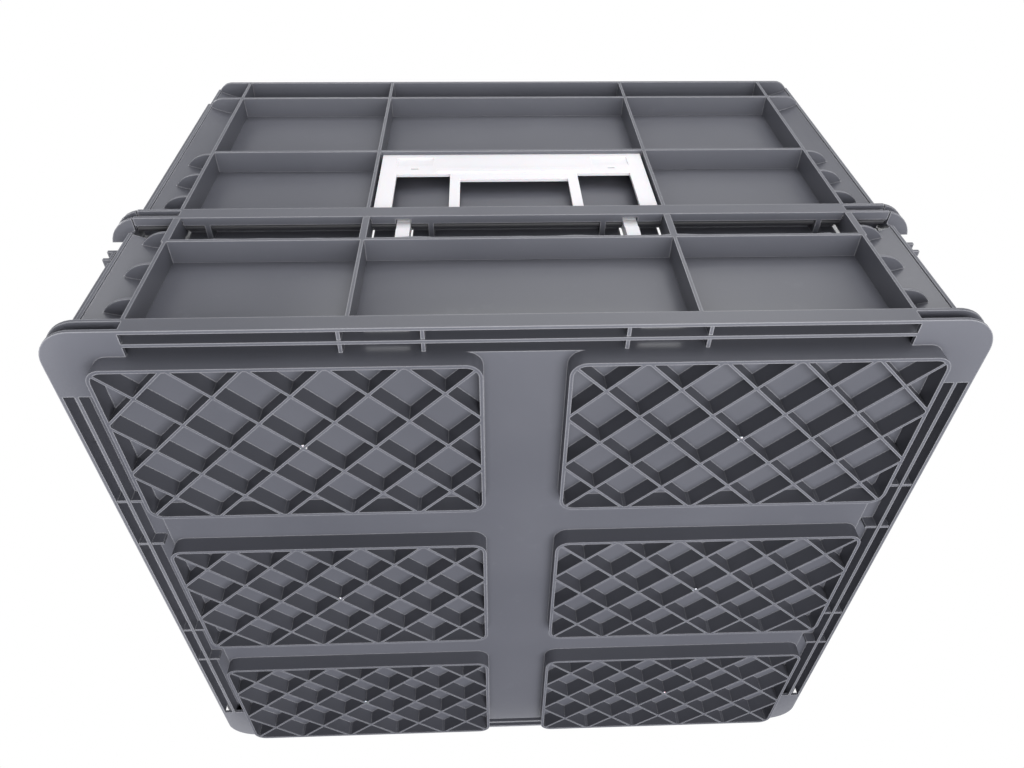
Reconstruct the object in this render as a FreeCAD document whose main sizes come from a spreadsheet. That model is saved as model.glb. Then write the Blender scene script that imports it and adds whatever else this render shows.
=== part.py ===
import FreeCAD, Part
import math
import os
from FreeCAD import Placement, Rotation, Vector

# Collapsible storage crate, millimetres, +Z up, standing on its six lattice feet.
# A rigid lower tray carries four ribbed walls, and each wall folds inward on its own rod.

doc = FreeCAD.newDocument("collapsible_crate")
sheet = doc.addObject("Spreadsheet::Sheet", "Dimensions")
driving = {
    "crate_length": 600.0,
    "crate_depth": 550.0,
    "crate_height": 400.0,
    "corner_radius": 25.0,
    "skin": 2.5,
    "rib_depth": 18.0,
    "foot_height": 13.0,
    "channel_rise": 10.2,
    "tray_rim": 116.0,
    "tray_collar": 137.0,
    "foot_length": 243.0,
    "foot_width": 143.0,
    "foot_gap_along": 54.0,
    "foot_gap_across": 40.7,
    "foot_skin": 2.5,
    "lattice_rib": 2.0,
    "cells_along": 5.0,
    "cells_across": 3.0,
    "frame_inset": 53.0,
    "inner_rib_place": 110.5,
    "long_axis_rise": 150.0,
    "short_axis_drop": 22.0,
    "wall_below_axis": 4.6,
    "strip_rise": 10.2,
    "column_set_back": 7.0,
    "mid_rib_rise": 250.0,
    "rim_flange_rise": 360.6,
    "rod_radius": 2.5,
    "rod_clearance": 0.05,
    "lug_radius": 5.0,
    "lug_width": 5.0,
    "notch_clearance": 0.6,
    "wall_gap": 0.5,
    "rim_ear_radius": 14.0,
    "channel_rib_place": 64.0,
    "notch_place": 87.0,
    "notch_length": 28.0,
    "notch_width": 10.0,
    "gusset_first": 48.0,
    "gusset_pitch": 40.0,
    "wall_gusset_first": 24.0,
    "wall_gusset_pitch": 35.0,
    "gusset_reach": 26.0,
    "gusset_thickness": 1.8,
    "drain_radius": 2.5,
    "knuckle_inset": 20.0,
    "knuckle_width": 4.0,
    "clip_place": 84.0,
    "clip_body_width": 10.0,
    "clip_width": 26.0,
    "clip_thickness": 2.6,
    "card_frame_depth": 3.0,
    "card_frame_thickness": 2.4,
}
for row, (name, value) in enumerate(driving.items(), start=1):
    sheet.set(f"A{row}", name)
    sheet.set(f"B{row}", str(value))
    sheet.setAlias(f"B{row}", name)
doc.recompute()


def size(name):
    """The value of one named cell of the sheet."""
    return float(getattr(sheet, name))


half_length = size("crate_length") / 2
half_depth = size("crate_depth") / 2
top = size("crate_height")
skin = size("skin")
thickness = size("rib_depth") + skin
plate_low = size("foot_height")
flange_low = plate_low + size("channel_rise")
flange_top = flange_low + skin
frame_inset = size("frame_inset")
rod_radius = size("rod_radius")
hole_radius = rod_radius + size("rod_clearance")
axis_in = size("rib_depth") / 2 + skin / 2 + 0.25
long_axis = size("long_axis_rise")
short_axis = long_axis - size("short_axis_drop")
gap = size("wall_gap")


def block(x0, x1, y0, y1, z0, z1):
    """A box between two corners."""
    return Part.makeBox(x1 - x0, y1 - y0, z1 - z0, Vector(x0, y0, z0))


def rounded_block(half_x, half_y, radius, z0, z1):
    """An upright prism of a rectangle with rounded corners, centred on the Z axis."""
    solid = block(-half_x, half_x, -half_y, half_y, z0, z1)
    upright = [e for e in solid.Edges if abs(e.Vertexes[0].Z - e.Vertexes[1].Z) > (z1 - z0) / 2]
    return solid.makeFillet(radius, upright)


def rounded_ring(half_x, half_y, radius, wall, z0, z1):
    """A thin upright wall that follows a rounded rectangle."""
    outside = rounded_block(half_x, half_y, radius, z0, z1)
    return outside.cut(rounded_block(half_x - wall, half_y - wall, radius - wall, z0 - 1, z1 + 1))


def cross_cylinder(u, v, z, radius, width):
    """A cylinder along X, centred at u."""
    return Part.makeCylinder(radius, width, Vector(u - width / 2, v, z), Vector(1, 0, 0))


def foot():
    """One raised foot: a rounded perimeter wall filled with a diamond lattice."""
    half_x = size("foot_length") / 2
    half_y = size("foot_width") / 2
    rise = plate_low + skin / 2
    ring = rounded_ring(half_x, half_y, 11.0, size("foot_skin"), 0, rise)
    step_x = half_x / size("cells_along")
    step_y = half_y / size("cells_across")
    angle = math.degrees(math.atan2(step_y, step_x))
    reach = 2 * (half_x + half_y)
    count = int(size("cells_along") + size("cells_across"))
    ribs = []
    for turn in (1, -1):
        for index in range(1 - count, count):
            offset = 2 * step_x * index
            rib = block(-reach / 2, reach / 2, -size("lattice_rib") / 2, size("lattice_rib") / 2, 0, rise)
            rib.rotate(Vector(0, 0, 0), Vector(0, 0, 1), turn * angle)
            rib.translate(Vector(offset, 0, 0))
            ribs.append(rib)
    lattice = ribs[0].multiFuse(ribs[1:])
    inside = rounded_block(half_x - 1, half_y - 1, 10.0, 0, rise)
    return ring.fuse(lattice.common(inside))


def gusset(side, z, inner_face, reach):
    """A thin D-shaped shelf between an end rib and the corner column."""
    start = side * inner_face
    tip = side * (inner_face + reach)
    back = size("rib_depth")
    edge = Part.Arc(Vector(start, 2, 0), Vector(start + side * reach * 0.62, 5, 0), Vector(tip, back, 0))
    lines = [Part.makeLine(Vector(tip, back, 0), Vector(start, back, 0)),
             Part.makeLine(Vector(start, back, 0), Vector(start, 2, 0))]
    shelf = Part.Face(Part.Wire([edge.toShape()] + lines)).extrude(Vector(0, 0, size("gusset_thickness")))
    shelf.translate(Vector(0, 0, z))
    return shelf


def ear_plate(half_span, z):
    """A wall's flange across its whole length, with a round outer corner at each end."""
    plate = block(-half_span, half_span, 0, thickness, z, z + skin)
    outer = [e for e in plate.Edges if abs(e.Vertexes[0].Z - e.Vertexes[1].Z) > skin / 2
             and max(v.Y for v in e.Vertexes) < skin]
    return plate.makeFillet(size("rim_ear_radius"), outer)


def column(side, inner_face, outer_end, z0, z1):
    """The sloping hollow skin of a corner column, from an end rib to the end of its side."""
    start = side * inner_face
    tip = side * outer_end
    middle = side * (inner_face + outer_end) / 2
    deep = size("rib_depth")
    shallow = size("column_set_back")
    outer = Part.Arc(Vector(start, deep - skin, z0), Vector(middle, (deep + shallow) / 2 + 0.8, z0),
                     Vector(tip, shallow, z0))
    inner = Part.Arc(Vector(tip, shallow + skin, z0), Vector(middle, (deep + shallow) / 2 + skin + 0.8, z0),
                     Vector(start, deep, z0))
    ends = [Part.makeLine(Vector(tip, shallow, z0), Vector(tip, shallow + skin, z0)),
            Part.makeLine(Vector(start, deep, z0), Vector(start, deep - skin, z0))]
    outline = Part.Wire([outer.toShape(), ends[0], inner.toShape(), ends[1]])
    skin_solid = Part.Face(outline).extrude(Vector(0, 0, z1 - z0))
    u0, u1 = sorted((tip, tip - side * skin))
    return skin_solid.fuse(block(u0, u1, shallow, thickness, z0, z1))


def lug(u, axis_height, foot_height):
    """A hinge lug of the tray: a fin with a round top and a hole for the rod."""
    width = size("lug_width")
    radius = size("lug_radius")
    fin = block(u - width / 2, u + width / 2, axis_in - radius, axis_in + radius, foot_height, axis_height)
    brace = block(u - width / 2, u + width / 2, 0, thickness - gap, foot_height, axis_height - 13)
    nose = block(u - width / 2, u + width / 2, 0, axis_in, foot_height, axis_height - size("lug_radius") - 0.2)
    return fin.fuse([brace, nose, cross_cylinder(u, axis_in, axis_height, radius, width)])


def rod_hole(axis_height, half_span):
    """The bore that a hinge rod runs in, along the whole wall."""
    return cross_cylinder(0, axis_in, axis_height, hole_radius, 2 * half_span)


def lug_places(half_frame):
    """Where the tray's lugs stand along one wall: on the lines of its upright ribs."""
    inner = size("inner_rib_place")
    return [-half_frame, -inner, inner, half_frame]


def side_frames(half_frame, inner_ribs, z0, z1):
    """The upright ribs of a wall: two end frames and the inner ribs."""
    places = [-half_frame, half_frame] + inner_ribs
    return [block(u - skin / 2, u + skin / 2, 0, thickness - skin / 2, z0, z1) for u in places]


def tray_side(half_frame, half_span, axis_height):
    """One side of the tray in its own frame: X along the wall, Y inward from the outer face."""
    inner = size("inner_rib_place")
    solids = side_frames(half_frame, [-inner, inner], flange_low, size("tray_rim"))
    solids.append(block(-half_frame, half_frame, 0, thickness, size("tray_rim") - skin, size("tray_rim")))
    solids.append(block(-half_frame, half_frame, 0, skin, plate_low, flange_top))
    near = size("channel_rib_place")
    for u in (-inner - 2 * skin, -near, near, inner + 2 * skin):
        solids.append(block(u - skin / 2, u + skin / 2, 0, thickness + 1, plate_low + 1, flange_top))
    for side in (-1, 1):
        count = 3 if axis_height == long_axis else 2
        for step in range(count):
            rise = size("gusset_first") + step * size("gusset_pitch")
            solids.append(gusset(side, rise, half_frame, size("gusset_reach")))
        crown = size("tray_collar") if axis_height == long_axis else size("tray_rim")
        solids.append(column(side, half_frame, half_span + 2 * gap + 1, flange_low, crown))
    for u in lug_places(half_frame):
        solids.append(lug(u, axis_height, size("tray_rim") - skin))
    return solids


def placed(shape, turn, distance):
    """A wall shape turned about Z and moved out to its side of the crate."""
    copy = shape.copy()
    copy.translate(Vector(0, -distance, 0))
    copy.rotate(Vector(0, 0, 0), Vector(0, 0, 1), turn)
    return copy


def tray():
    """The rigid lower tray with its feet, stepped floor, ribbed sides and hinge lugs."""
    radius = size("corner_radius")
    rim = size("tray_rim")
    field_x = size("foot_length") + size("foot_gap_along") / 2
    field_y = 1.5 * size("foot_width") + size("foot_gap_across")
    parts = []
    flange = rounded_block(half_length, half_depth, radius, flange_low, flange_top)
    flange = flange.cut(block(-field_x + skin, field_x - skin, -field_y + skin, field_y - skin, 0, rim))
    parts.append(flange)
    parts.append(block(-field_x, field_x, -field_y, field_y, plate_low, plate_low + skin))
    step = block(-field_x, field_x, -field_y, field_y, plate_low, flange_top)
    parts.append(step.cut(block(-field_x + skin, field_x - skin, -field_y + skin, field_y - skin, 0, rim)))
    plate = rounded_block(half_length, half_depth, radius, plate_low, plate_low + skin)
    for sx in (-1, 1):
        for sy in (-1, 1):
            corner = block(0, frame_inset, 0, frame_inset, 0, rim)
            corner.translate(Vector(half_length - frame_inset if sx > 0 else -half_length,
                                    half_depth - frame_inset if sy > 0 else -half_depth, 0))
            parts.append(plate.common(corner))
    parts.append(rounded_ring(half_length - 10, half_depth - 10, radius - 8, skin, plate_low, flange_low + 1))
    core_x = half_length - size("rib_depth")
    core_y = half_depth - size("rib_depth")
    parts.append(rounded_ring(core_x, core_y, radius, skin, flange_low, rim))
    span = core_x - skin - gap
    for sy in (-1, 1):
        low, high = sorted((sy * core_y, sy * (core_y - skin)))
        parts.append(block(-span, span, low, high, rim - skin, size("tray_collar")))
    ear_low = long_axis - size("wall_below_axis")
    ear_high = ear_low + size("strip_rise")
    post = rounded_block(half_length - 9, half_depth - 9, radius - 8, flange_low, ear_high)
    for z in (ear_low, ear_high):
        post = post.fuse(rounded_block(half_length, half_depth, radius, z, z + skin))
    for sx in (-1, 1):
        for sy in (-1, 1):
            x0, x1 = sorted((sx * (core_x - skin + gap), sx * half_length))
            y0, y1 = sorted((sy * (core_y - skin + gap), sy * half_depth))
            parts.append(post.common(block(x0, x1, y0, y1, 0, top)))
    long_span = half_length - thickness - gap
    short_span = half_depth - thickness - gap
    for turn in (0, 180):
        for solid in tray_side(half_length - frame_inset, long_span, long_axis):
            parts.append(placed(solid, turn, half_depth))
    for turn in (90, 270):
        for solid in tray_side(half_depth - frame_inset, short_span, short_axis):
            parts.append(placed(solid, turn, half_length))
    one_foot = foot()
    pitch_x = (size("foot_length") + size("foot_gap_along")) / 2
    pitch_y = size("foot_width") + size("foot_gap_across")
    for column in (-1, 1):
        for line in (-1, 0, 1):
            copy = one_foot.copy()
            copy.translate(Vector(column * pitch_x, line * pitch_y, 0))
            parts.append(copy)
    whole = parts[0].multiFuse(parts[1:])
    for turn in (0, 180):
        whole = whole.cut(placed(rod_hole(long_axis, long_span), turn, half_depth))
    for turn in (90, 270):
        whole = whole.cut(placed(rod_hole(short_axis, short_span), turn, half_length))
    for sx in (-1, 1):
        for sy in (-1, 1):
            long, wide = size("notch_length") / 2, size("notch_width") / 2
            notch = block(-long, long, -wide, wide, flange_low - 1, flange_top + 1)
            notch.translate(Vector(sx * size("notch_place"), sy * (half_depth - axis_in), 0))
            whole = whole.cut(notch)
            for along in (0.08, 0.31):
                drain = Vector(sx * (half_length - 2 * skin), sy * 2 * along * half_depth, flange_low - 1)
                whole = whole.cut(Part.makeCylinder(size("drain_radius"), skin + 2, drain))
    return whole.removeSplitter()


def wall(half_span, half_frame, axis_height, clips):
    """One folding wall in its own frame: X along the wall, Y inward from the outer face."""
    inner = size("inner_rib_place")
    low = axis_height - size("wall_below_axis")
    floor = low + size("strip_rise")
    parts = [block(-half_frame, half_frame, thickness - skin, thickness, low, top)]
    parts.append(block(-half_span, half_span, 0, thickness, floor, floor + skin))
    parts.append(block(-half_frame, half_frame, 0, skin, low, floor + skin))
    parts.append(block(-half_span, half_span, 0, 6.5, low, low + skin))
    parts.append(block(-half_span, half_span, 4, 6.5, low, floor + skin))
    parts += side_frames(half_frame, [-inner, inner], floor, top)
    parts.append(block(-half_frame, half_frame, 0, thickness, size("mid_rib_rise"), size("mid_rib_rise") + skin))
    parts += [ear_plate(half_span, z) for z in (size("rim_flange_rise"), top - skin)]
    for side in (-1, 1):
        parts.append(column(side, half_frame, half_span, floor, top))
        for step in range(3):
            rise = floor + size("wall_gusset_first") + step * size("wall_gusset_pitch")
            parts.append(gusset(side, rise, half_frame, size("gusset_reach")))
    end, near, half = half_frame - size("knuckle_inset"), size("channel_rib_place"), size("knuckle_width") / 2
    for u in (-end, -near, near, end):
        parts.append(block(u - half, u + half, 0, thickness, low, floor + 1))
    whole = parts[0].multiFuse(parts[1:])
    width = size("lug_width") + 2 * size("notch_clearance")
    places = [(u, width) for u in lug_places(half_frame)]
    if clips:
        opening = size("clip_body_width") + 2 * size("notch_clearance")
        places += [(side * size("clip_place"), opening) for side in (-1, 1)]
    for u, opening in places:
        whole = whole.cut(block(u - opening / 2, u + opening / 2, skin + 0.4, thickness + 1, low - 1,
                                axis_height + axis_in - 0.5))
    whole = whole.cut(rod_hole(axis_height, half_span + 1))
    return whole.removeSplitter()


def clip(u):
    """A white snap clip: a T-shaped plate with two legs and an eye that holds the hinge rod."""
    width = size("clip_width")
    plate = size("clip_thickness")
    face = thickness - skin - plate
    collar = size("tray_collar")
    bar = block(u - width / 2, u + width / 2, face, face + plate, collar - 10, collar)
    half = size("clip_body_width") / 2
    tab = block(u - half, u + half, axis_in - 5, face + plate, size("tray_rim"), collar)
    slot = block(u - 2, u + 2, 0, thickness, size("tray_rim") - 1, size("tray_rim") + 7)
    neck = block(u - half, u + half, axis_in - 4, axis_in + 4, collar - 1, long_axis)
    eye = cross_cylinder(u, axis_in, long_axis, size("lug_radius") - 0.4, 2 * half)
    shape = bar.fuse([tab, neck, eye]).cut(slot)
    shape = shape.cut(cross_cylinder(u, axis_in, long_axis, hole_radius, 40))
    return shape.removeSplitter()


def card_frame():
    """The white card holder: a flat frame with three windows and two snap recesses."""
    floor = long_axis - size("wall_below_axis") + size("strip_rise") + skin
    half = size("inner_rib_place") - skin / 2 - 2
    high = size("mid_rib_rise") - 0.3
    front = size("card_frame_depth")
    back = front + size("card_frame_thickness")
    frame = block(-half, half, front, back, floor, high)
    frame = frame.fuse(block(-62, 62, front - 1, front + 1, high - 32, high - 26))
    openings = [(-94, -51, floor + 4, high - 34), (-43, 43, floor + 4, high - 43), (51, 94, floor + 4, high - 34)]
    for x0, x1, z0, z1 in openings:
        frame = frame.cut(block(x0, x1, 0, 12, z0, z1))
    for side in (-1, 1):
        frame = frame.cut(block(side * 80 - 15, side * 80 + 15, front - 1, front + 1, high - 20, high - 6))
        frame = frame.cut(block(side * 80 - 3, side * 80 + 3, 0, 12, high - 26, high - 24))
        frame = frame.fuse(block(side * (half - 4) - 4, side * (half - 4) + 4, back, thickness - skin,
                                 floor, floor + 6))
    return frame.removeSplitter()


def add_part(label, shape):
    """Puts one finished sub-part into the document."""
    feature = doc.addObject("Part::Feature", label)
    feature.Label = label
    feature.Shape = shape
    return feature


def add_rod(label, turn, distance, axis_height, length_cells):
    """A plain hinge rod along one wall, bound to the sheet."""
    rod = doc.addObject("Part::Cylinder", label)
    rod.Label = label
    rod.setExpression("Radius", "Dimensions.rod_radius")
    rod.setExpression("Height", f"Dimensions.{length_cells} - 2 * (Dimensions.rib_depth + Dimensions.skin)"
                                " - 4 * Dimensions.wall_gap")
    doc.recompute()
    start = Vector(-float(rod.Height) / 2, axis_in - distance, axis_height)
    lay = Placement(start, Rotation(Vector(0, 0, 1), Vector(1, 0, 0)))
    rod.Placement = Placement(Vector(), Rotation(Vector(0, 0, 1), turn)).multiply(lay)
    return rod


long_span = half_length - thickness - gap
short_span = half_depth - thickness - gap
long_wall = wall(long_span, half_length - frame_inset, long_axis, True)
short_wall = wall(short_span, half_depth - frame_inset, short_axis, False)
sub_parts = [
    add_part("lower_tray", tray()),
    add_part("front_wall", placed(long_wall, 0, half_depth)),
    add_part("rear_wall", placed(long_wall, 180, half_depth)),
    add_part("right_wall", placed(short_wall, 90, half_length)),
    add_part("left_wall", placed(short_wall, 270, half_length)),
    add_rod("front_hinge_rod", 0, half_depth, long_axis, "crate_length"),
    add_rod("rear_hinge_rod", 180, half_depth, long_axis, "crate_length"),
    add_rod("right_hinge_rod", 90, half_length, short_axis, "crate_depth"),
    add_rod("left_hinge_rod", 270, half_length, short_axis, "crate_depth"),
    add_part("card_holder", placed(card_frame(), 0, half_depth)),
]
for wall_name, turn in (("front", 0), ("rear", 180)):
    for side_name, side in (("left", -1), ("right", 1)):
        shape = placed(clip(side * size("clip_place")), turn, half_depth)
        sub_parts.append(add_part(f"{wall_name}_{side_name}_hinge_clip", shape))

doc.recompute()
for item in doc.Objects:
    if "Invalid" in item.State or "Error" in item.State:
        raise RuntimeError(f"{item.Label} failed to build")
os.makedirs("parts", exist_ok=True)
for item in sub_parts:
    if item.Shape.isNull() or not item.Shape.isValid():
        raise RuntimeError(f"{item.Label} has no valid shape")
    item.Shape.exportStep(f"parts/{item.Label}.step")
    print(item.Label, len(item.Shape.Solids), round(item.Shape.Volume / 1000, 1))
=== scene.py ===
import math

import bmesh
import bpy
from mathutils import Matrix, Vector


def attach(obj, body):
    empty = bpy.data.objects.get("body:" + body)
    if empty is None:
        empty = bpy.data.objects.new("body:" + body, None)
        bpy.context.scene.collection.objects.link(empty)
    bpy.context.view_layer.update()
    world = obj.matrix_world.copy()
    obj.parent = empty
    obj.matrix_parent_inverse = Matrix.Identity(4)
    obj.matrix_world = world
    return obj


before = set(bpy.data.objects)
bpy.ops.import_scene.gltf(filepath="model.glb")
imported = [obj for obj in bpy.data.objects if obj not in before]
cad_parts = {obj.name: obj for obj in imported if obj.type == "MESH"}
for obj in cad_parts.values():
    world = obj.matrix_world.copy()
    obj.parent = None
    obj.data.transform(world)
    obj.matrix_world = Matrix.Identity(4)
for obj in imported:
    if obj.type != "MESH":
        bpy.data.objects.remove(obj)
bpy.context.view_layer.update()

# --- Lower tray ---------------------------------------------------------------------------
# The rigid lower tray is one injection moulding in anthracite polypropylene, with six lattice
# feet under it. Its ribs are drafted, and their edges are coloured paler. This is partly rubbed wear
# from stacking and sliding and partly a painted highlight.

edge_group = bpy.data.node_groups.new("moulded_edges", "ShaderNodeTree")
edge_group.interface.new_socket("Edge Radius", in_out="INPUT", socket_type="NodeSocketFloat")
edge_group.interface.new_socket("Scuff Scale", in_out="INPUT", socket_type="NodeSocketFloat")
edge_group.interface.new_socket("Edge", in_out="OUTPUT", socket_type="NodeSocketFloat")
edge_group.interface.new_socket("Scuff", in_out="OUTPUT", socket_type="NodeSocketFloat")
edge_group.interface.new_socket("Cloud", in_out="OUTPUT", socket_type="NodeSocketFloat")
group_in = edge_group.nodes.new("NodeGroupInput")
group_out = edge_group.nodes.new("NodeGroupOutput")
# Edge mask: where the bevelled normal turns away from the flat normal, the edge is later coloured
# paler. This is partly rubbed wear and partly a painted highlight.
round_edge = edge_group.nodes.new("ShaderNodeBevel")
round_edge.samples = 4
flat_normal = edge_group.nodes.new("ShaderNodeNewGeometry")
turned = edge_group.nodes.new("ShaderNodeVectorMath")
turned.operation = "DOT_PRODUCT"
edge_range = edge_group.nodes.new("ShaderNodeMapRange")
edge_range.inputs["From Min"].default_value = 0.985
edge_range.inputs["From Max"].default_value = 0.80
place = edge_group.nodes.new("ShaderNodeTexCoord")
scuff_noise = edge_group.nodes.new("ShaderNodeTexNoise")
scuff_noise.inputs["Detail"].default_value = 8.0
scuff_noise.inputs["Roughness"].default_value = 0.7
scuff_range = edge_group.nodes.new("ShaderNodeMapRange")
scuff_range.inputs["From Min"].default_value = 0.60
scuff_range.inputs["From Max"].default_value = 0.78
cloud_noise = edge_group.nodes.new("ShaderNodeTexNoise")
cloud_noise.inputs["Scale"].default_value = 9.0
cloud_noise.inputs["Detail"].default_value = 3.0
link = edge_group.links.new
link(group_in.outputs["Edge Radius"], round_edge.inputs["Radius"])
link(round_edge.outputs["Normal"], turned.inputs[0])
link(flat_normal.outputs["Normal"], turned.inputs[1])
link(turned.outputs["Value"], edge_range.inputs["Value"])
link(edge_range.outputs["Result"], group_out.inputs["Edge"])
link(place.outputs["Object"], scuff_noise.inputs["Vector"])
link(group_in.outputs["Scuff Scale"], scuff_noise.inputs["Scale"])
link(scuff_noise.outputs["Fac"], scuff_range.inputs["Value"])
link(scuff_range.outputs["Result"], group_out.inputs["Scuff"])
link(place.outputs["Object"], cloud_noise.inputs["Vector"])
link(cloud_noise.outputs["Fac"], group_out.inputs["Cloud"])


def moulded_plastic(name, low, high, worn_and_highlight, gloss, edge_radius, edge_share):
    """A moulded plastic with cloudy colour, edges coloured paler (partly rubbed wear, partly a
    painted highlight), faint scuffs and a fine surface.
    """
    material = bpy.data.materials.new(name)
    material.use_nodes = True
    nodes = material.node_tree.nodes
    connect = material.node_tree.links.new
    shader = nodes["Principled BSDF"]
    shader.inputs["IOR"].default_value = 1.49
    wear = nodes.new("ShaderNodeGroup")
    wear.node_tree = edge_group
    wear.inputs["Edge Radius"].default_value = edge_radius
    wear.inputs["Scuff Scale"].default_value = 55.0
    cloud = nodes.new("ShaderNodeMix")
    cloud.data_type = "RGBA"
    cloud.inputs[6].default_value = (*low, 1)
    cloud.inputs[7].default_value = (*high, 1)
    # The edge colour is mixed in along the edge mask. It is partly rubbed wear and partly a painted
    # highlight on the rounded edges.
    edge = nodes.new("ShaderNodeMix")
    edge.data_type = "RGBA"
    edge.inputs[7].default_value = (*worn_and_highlight, 1)
    amount = nodes.new("ShaderNodeMath")
    amount.operation = "MULTIPLY"
    amount.inputs[1].default_value = edge_share
    scuffed = nodes.new("ShaderNodeMix")
    scuffed.data_type = "RGBA"
    scuffed.inputs[7].default_value = (*[c * 1.25 for c in high], 1)
    faint = nodes.new("ShaderNodeMath")
    faint.operation = "MULTIPLY"
    faint.inputs[1].default_value = 0.35
    rough = nodes.new("ShaderNodeMapRange")
    rough.inputs["To Min"].default_value = gloss
    rough.inputs["To Max"].default_value = gloss + 0.14
    grain = nodes.new("ShaderNodeTexNoise")
    grain.inputs["Scale"].default_value = 700.0
    coordinates = nodes.new("ShaderNodeTexCoord")
    bump = nodes.new("ShaderNodeBump")
    bump.inputs["Strength"].default_value = 0.06
    bump.inputs["Distance"].default_value = 0.0004
    connect(wear.outputs["Cloud"], cloud.inputs[0])
    connect(cloud.outputs[2], scuffed.inputs[6])
    connect(wear.outputs["Scuff"], faint.inputs[0])
    connect(faint.outputs[0], scuffed.inputs[0])
    connect(scuffed.outputs[2], edge.inputs[6])
    connect(wear.outputs["Edge"], amount.inputs[0])
    connect(amount.outputs[0], edge.inputs[0])
    connect(edge.outputs[2], shader.inputs["Base Color"])
    connect(wear.outputs["Cloud"], rough.inputs["Value"])
    connect(rough.outputs["Result"], shader.inputs["Roughness"])
    connect(coordinates.outputs["Object"], grain.inputs["Vector"])
    connect(grain.outputs["Fac"], bump.inputs["Height"])
    connect(bump.outputs["Normal"], shader.inputs["Normal"])
    return material


def finish_node(node, material):
    """Gives a CAD node its finish."""
    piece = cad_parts[node]
    piece.data.materials.clear()
    piece.data.materials.append(material)


# The third colour lightens the edges. It is partly rubbed wear and partly a painted highlight.
anthracite = moulded_plastic("anthracite_polypropylene", (0.062, 0.064, 0.077), (0.085, 0.087, 0.102),
                             (0.30, 0.30, 0.32), 0.30, 0.0014, 0.75)
finish_node("lower_tray", anthracite)

half_length, half_depth = 0.300, 0.275
tray_skin = 0.0025
rib_depth = 0.018
frame_inset = 0.053
inner_rib = 0.1105
tray_low, tray_high = 0.0257, 0.1135
floor_crown = 0.0035
floor_clearance = 0.0003
long_side = (0, half_depth, half_length - frame_inset)
short_side = (90, half_length, half_depth - frame_inset)


def pillow(name, body, side, start, end, low, high, crown):
    """The softly crowned floor of one compartment, a single open sheet in front of the wall."""
    turn, distance, _ = side
    mesh = bmesh.new()
    bmesh.ops.create_grid(mesh, x_segments=14, y_segments=10, size=0.5)
    for point in mesh.verts:
        u, w = point.co.x * 2, point.co.y * 2
        swell = (1 - u ** 4) * (1 - w ** 4) * crown
        across = (start + end) / 2 + u * (end - start) / 2
        up = (low + high) / 2 + w * (high - low) / 2
        point.co = Vector((across, -distance + rib_depth - floor_clearance - swell, up))
    bmesh.ops.rotate(mesh, cent=(0, 0, 0), matrix=Matrix.Rotation(math.radians(turn), 3, "Z"),
                     verts=mesh.verts)
    for face in mesh.faces:
        face.smooth = True
    data = bpy.data.meshes.new(name)
    mesh.to_mesh(data)
    mesh.free()
    piece = bpy.data.objects.new(name, data)
    bpy.context.collection.objects.link(piece)
    data.materials.append(anthracite)
    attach(piece, body)


def compartments(label, body, side, levels, crown):
    """One crowned floor in every compartment of a side."""
    half_frame = side[2]
    edges = [-half_frame, -inner_rib, inner_rib, half_frame]
    clear = tray_skin / 2
    for level, (low, high) in enumerate(levels):
        for bay in range(3):
            pillow(f"{label}_floor_{level}_{bay}", body, side, edges[bay] + clear,
                   edges[bay + 1] - clear, low, high, crown)


def opposite(side):
    """The same side, turned half round the crate."""
    return (side[0] + 180, side[1], side[2])


for label, side in (("tray_front", long_side), ("tray_rear", opposite(long_side)),
                    ("tray_right", short_side), ("tray_left", opposite(short_side))):
    compartments(label, "tray", side, [(tray_low, tray_high)], floor_crown)

# --- Folding walls ------------------------------------------------------------------------
# Four ribbed walls of the same plastic, moulded apart from the tray. Each one has two rows of
# crowned compartments under a double rim, and turns inward on the rod along its lower edge.

mid_rib, rim_flange = 0.250, 0.3606
long_floor, short_floor = 0.1581, 0.1361
for label, side, floor in (("front_wall", long_side, long_floor),
                           ("rear_wall", opposite(long_side), long_floor),
                           ("right_wall", short_side, short_floor),
                           ("left_wall", opposite(short_side), short_floor)):
    finish_node(label, anthracite)
    levels = [(floor, mid_rib), (mid_rib + tray_skin, rim_flange)]
    compartments(label, label, side, levels, floor_crown)

# --- Hinge rods ---------------------------------------------------------------------------
# A plain dark rod runs through the tray's lugs and the wall's knuckles on every side. It is
# extruded in the same plastic, with a smoother and darker surface than the mouldings.

# The third colour lightens the edges. It is partly rubbed wear and partly a painted highlight.
rod_plastic = moulded_plastic("rod_polypropylene", (0.03, 0.03, 0.035), (0.045, 0.045, 0.05),
                              (0.16, 0.16, 0.17), 0.25, 0.0006, 0.4)
for side_name in ("front", "rear", "right", "left"):
    finish_node(f"{side_name}_hinge_rod", rod_plastic)

# --- Hinge clips and card holder ----------------------------------------------------------
# The snap clips and the three-window card holder are natural, undyed polypropylene. It is
# milky white and slightly translucent, and it is left glossy by the mould.

# The third colour lightens the edges. It is partly rubbed wear and partly a painted highlight.
natural = moulded_plastic("natural_polypropylene", (0.52, 0.51, 0.53), (0.60, 0.59, 0.61),
                          (0.80, 0.79, 0.81), 0.28, 0.0007, 0.6)
natural.node_tree.nodes["Principled BSDF"].inputs["Subsurface Weight"].default_value = 0.15
natural.node_tree.nodes["Principled BSDF"].inputs["Subsurface Scale"].default_value = 0.003
finish_node("card_holder", natural)
for wall_name in ("front", "rear"):
    for hand in ("left", "right"):
        finish_node(f"{wall_name}_{hand}_hinge_clip", natural)

# --- Gate marks ---------------------------------------------------------------------------
# Where the plastic entered the mould a pale round nib is left on the lattice of the feet.
# Each is a domed disc of torn plastic, moulded in one piece with the tray.

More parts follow.
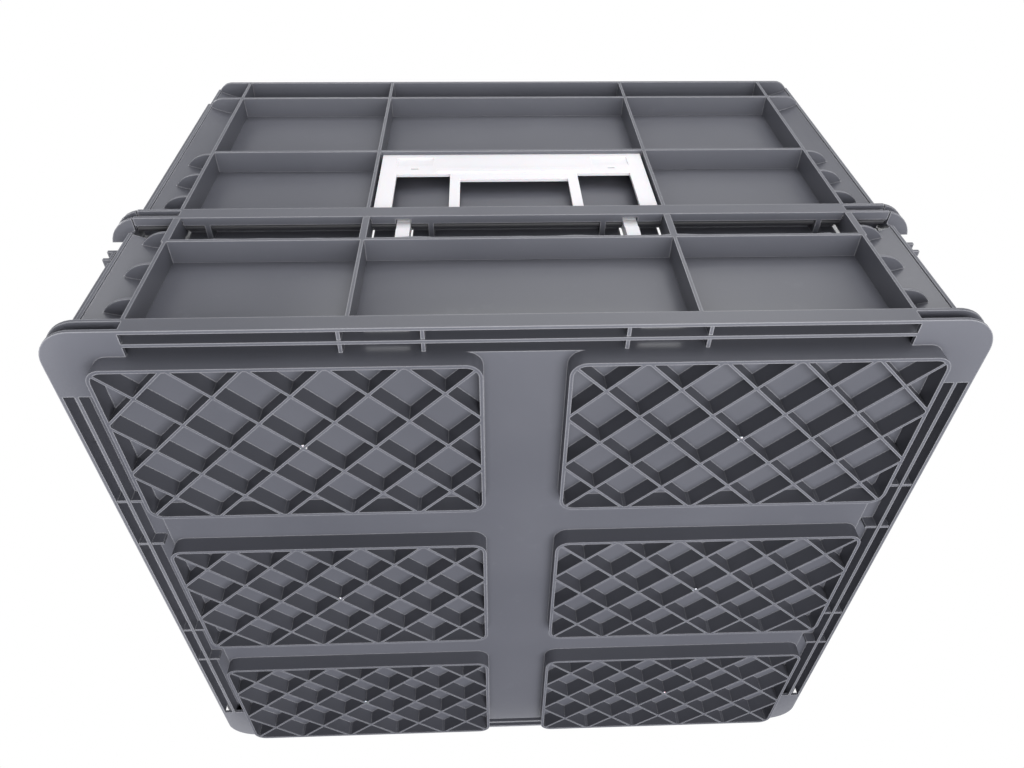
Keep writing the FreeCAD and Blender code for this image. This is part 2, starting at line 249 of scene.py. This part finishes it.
foot_pitch = Vector((0.1485, 0.1837, 0))
nib_radius, nib_flatness, nib_rise = 0.0026, 0.35, 0.0010
for column in (-1, 1):
    for line in (-1, 0, 1):
        mesh = bmesh.new()
        bmesh.ops.create_uvsphere(mesh, u_segments=16, v_segments=8, radius=nib_radius)
        bmesh.ops.scale(mesh, vec=(1, 1, nib_flatness), verts=mesh.verts)
        centre = Vector((column * foot_pitch.x, line * foot_pitch.y, nib_rise))
        bmesh.ops.translate(mesh, vec=centre, verts=mesh.verts)
        data = bpy.data.meshes.new(f"gate_mark_{column + 1}_{line + 1}")
        mesh.to_mesh(data)
        mesh.free()
        nib = bpy.data.objects.new(data.name, data)
        bpy.context.collection.objects.link(nib)
        data.materials.append(natural)
        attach(nib, "tray")

# --- Moulding flash -----------------------------------------------------------------------
# A thin ragged fin of plastic squeezed out along the parting line of the tray's front rim.
# It is the tray's own plastic, a few tenths thick, and it rises unevenly behind the edge.

flash_mesh = bmesh.new()
bmesh.ops.create_grid(flash_mesh, x_segments=240, y_segments=2, size=0.5)
rim_top, rim_face = 0.116, -0.2744
flash_length, flash_height, flash_thickness = 0.45, 0.0022, 0.0003
flash_wander, flash_overlap = 0.0003, 0.0002
for point in flash_mesh.verts:
    along = point.co.x * flash_length
    ragged = 0.5 + 0.3 * math.sin(along * 61) + 0.2 * math.sin(along * 173 + 1.0)
    rise = (point.co.y + 0.5) * flash_height * max(ragged, 0.05)
    wander = flash_wander * math.sin(along * 97)
    point.co = Vector((along, rim_face + wander, rim_top - flash_overlap + rise))
flash_data = bpy.data.meshes.new("front_rim_flash")
flash_mesh.to_mesh(flash_data)
flash_mesh.free()
rim_flash = bpy.data.objects.new("front_rim_flash", flash_data)
bpy.context.collection.objects.link(rim_flash)
flash_skin = rim_flash.modifiers.new("skin", "SOLIDIFY")
flash_skin.thickness = flash_thickness
flash_data.materials.append(anthracite)
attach(rim_flash, "tray")

# --- Floor, light and camera --------------------------------------------------------------
# A pale floor that shows only from above, so that the feet can be looked at from below.
# Large soft lamps stand in front, below, above and behind the crate.

floor_mesh = bmesh.new()
bmesh.ops.create_grid(floor_mesh, x_segments=1, y_segments=1, size=6)
floor_data = bpy.data.meshes.new("pale_floor")
floor_mesh.to_mesh(floor_data)
floor_mesh.free()
pale_floor = bpy.data.objects.new("pale_floor", floor_data)
bpy.context.collection.objects.link(pale_floor)
floor_material = bpy.data.materials.new("pale_floor")
floor_material.use_nodes = True
floor_nodes = floor_material.node_tree.nodes
floor_link = floor_material.node_tree.links.new
floor_nodes["Principled BSDF"].inputs["Base Color"].default_value = (0.80, 0.80, 0.80, 1)
floor_nodes["Principled BSDF"].inputs["Roughness"].default_value = 0.9
clear_shader = floor_nodes.new("ShaderNodeBsdfTransparent")
facing = floor_nodes.new("ShaderNodeNewGeometry")
path = floor_nodes.new("ShaderNodeLightPath")
either = floor_nodes.new("ShaderNodeMath")
either.operation = "MAXIMUM"
floor_mix = floor_nodes.new("ShaderNodeMixShader")
floor_link(facing.outputs["Backfacing"], either.inputs[0])
floor_link(path.outputs["Is Shadow Ray"], either.inputs[1])
floor_link(either.outputs[0], floor_mix.inputs[0])
floor_link(floor_nodes["Principled BSDF"].outputs[0], floor_mix.inputs[1])
floor_link(clear_shader.outputs[0], floor_mix.inputs[2])
floor_link(floor_mix.outputs[0], floor_nodes["Material Output"].inputs["Surface"])
floor_data.materials.append(floor_material)

world = bpy.data.worlds.new("studio")
bpy.context.scene.world = world
world.use_nodes = True
world_nodes = world.node_tree.nodes
world_link = world.node_tree.links.new
soft_fill = world_nodes["Background"]
soft_fill.inputs["Color"].default_value = (0.97, 0.98, 1.0, 1)
soft_fill.inputs["Strength"].default_value = 0.55
white_back = world_nodes.new("ShaderNodeBackground")
white_back.inputs["Color"].default_value = (1, 1, 1, 1)
white_back.inputs["Strength"].default_value = 1.0
world_path = world_nodes.new("ShaderNodeLightPath")
world_mix = world_nodes.new("ShaderNodeMixShader")
world_link(world_path.outputs["Is Camera Ray"], world_mix.inputs[0])
world_link(soft_fill.outputs[0], world_mix.inputs[1])
world_link(white_back.outputs[0], world_mix.inputs[2])
world_link(world_mix.outputs[0], world_nodes["World Output"].inputs["Surface"])


def soft_lamp(name, place, aim, width, power):
    """A square soft box turned towards a point."""
    lamp = bpy.data.lights.new(name, "AREA")
    lamp.size = width
    lamp.energy = power
    holder = bpy.data.objects.new(name, lamp)
    holder.location = place
    holder.rotation_mode = "QUATERNION"
    holder.rotation_quaternion = (Vector(aim) - Vector(place)).to_track_quat("-Z", "Y")
    bpy.context.collection.objects.link(holder)


middle = (0, 0, 0.2)
soft_lamp("front_lamp", (0.3, -1.9, 0.9), middle, 1.6, 30)
soft_lamp("under_lamp", (0.3, -0.5, -1.9), middle, 1.8, 105)
soft_lamp("top_lamp", (-0.6, 0.4, 2.1), middle, 1.6, 34)
soft_lamp("back_lamp", (-0.9, 1.9, 0.8), middle, 1.4, 26)

camera_place = Vector((-0.0263, -0.5685, -0.3618))
camera_data = bpy.data.cameras.new("camera")
camera_data.sensor_width = 36.0
camera_data.lens = 27.38
camera_data.clip_start = 0.01
camera = bpy.data.objects.new("camera", camera_data)
bpy.context.collection.objects.link(camera)
bpy.context.scene.camera = camera
forward = Vector((0.0352, 0.6727, 0.7391)).normalized()
upward = Vector((0.0164, -0.7399, 0.6726))
rightward = forward.cross(upward).normalized()
upward = rightward.cross(forward)
axes = Matrix((rightward, upward, -forward)).transposed()
camera.matrix_world = Matrix.Translation(camera_place) @ axes.to_4x4()

bpy.context.scene.view_settings.view_transform = "Standard"
